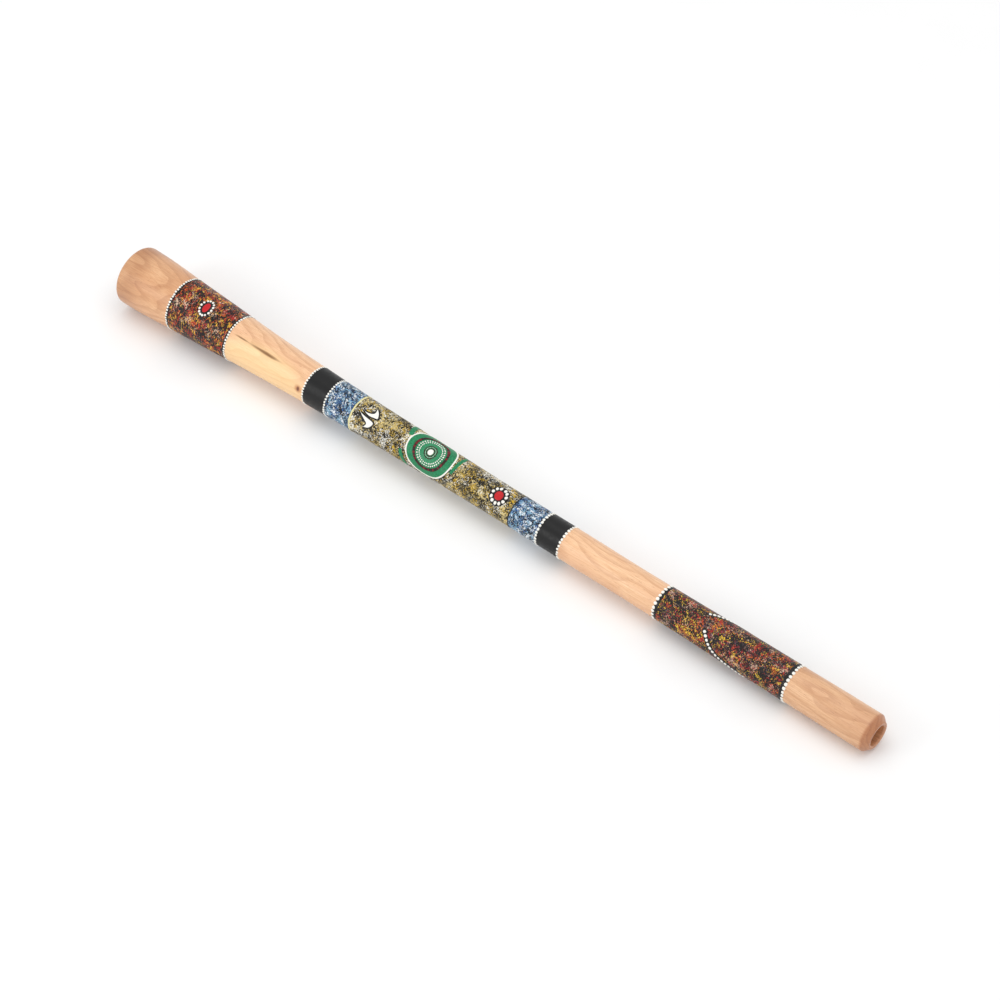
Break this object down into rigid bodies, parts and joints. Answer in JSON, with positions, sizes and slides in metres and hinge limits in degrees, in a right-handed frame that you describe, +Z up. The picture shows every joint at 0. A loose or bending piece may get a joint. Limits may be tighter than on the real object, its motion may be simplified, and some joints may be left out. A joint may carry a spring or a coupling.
{
  "type": "didgeridoo",
  "caption": "Long hollow wooden wind instrument with a flared bell, a bevelled blowing rim and painted bands, raised dots and round motifs.",
  "frame": {"origin": "under the middle of the tube, on the surface that it lies on", "axes": "+X along the tube from the bell to the blowing rim, +Z up; the tube lies on its bell and its rim, so its axis dips by under one degree towards the rim"},
  "size_m": [1.3007, 0.0898, 0.0901],
  "materials": {
    "wood": "lacquered satin",
    "speckle_paint": "dabbed acrylic under lacquer",
    "black_paint": "glossy acrylic",
    "blue_paint": "sponged acrylic under lacquer",
    "ochre_paint": "sponged acrylic under lacquer",
    "cream_paint": "acrylic line",
    "green_paint": "acrylic",
    "maroon_paint": "acrylic",
    "red_paint": "acrylic",
    "white_paint": "thick acrylic"
  },
  "bodies": {
    "root": {"arc_dots": "white_paint", "arc_strokes": "black_paint", "bell_band_end_dots": "white_paint", "bell_band_inner_dots": "white_paint", "bell_rosette_dots": "white_paint", "bell_rosette_ground": "black_paint", "bell_rosette_heart": "red_paint", "bell_speckle_coat": "speckle_paint", "far_black_band": "black_paint", "far_black_inner_dots": "white_paint", "far_black_outer_dots": "white_paint", "far_blue_coat": "blue_paint", "far_edge_line": "cream_paint", "medallion_border": "white_paint", "medallion_brown_ring": "maroon_paint", "medallion_field": "green_paint", "medallion_fine_dots": "white_paint", "medallion_heart": "white_paint", "medallion_red_ring": "maroon_paint", "medallion_side_strokes": "green_paint", "mouth_band_end_dots": "white_paint", "mouth_band_inner_dots": "white_paint", "mouth_speckle_coat": "speckle_paint", "near_black_band": "black_paint", "near_black_inner_dots": "white_paint", "near_black_outer_dots": "white_paint", "near_blue_coat": "blue_paint", "near_edge_line": "black_paint", "near_rosette_dots": "white_paint", "near_rosette_ground": "black_paint", "near_rosette_heart": "red_paint", "ochre_coat": "ochre_paint", "track_fills": "white_paint", "track_outlines": "black_paint", "wood_body": "wood"}
  },
  "joints": []
}
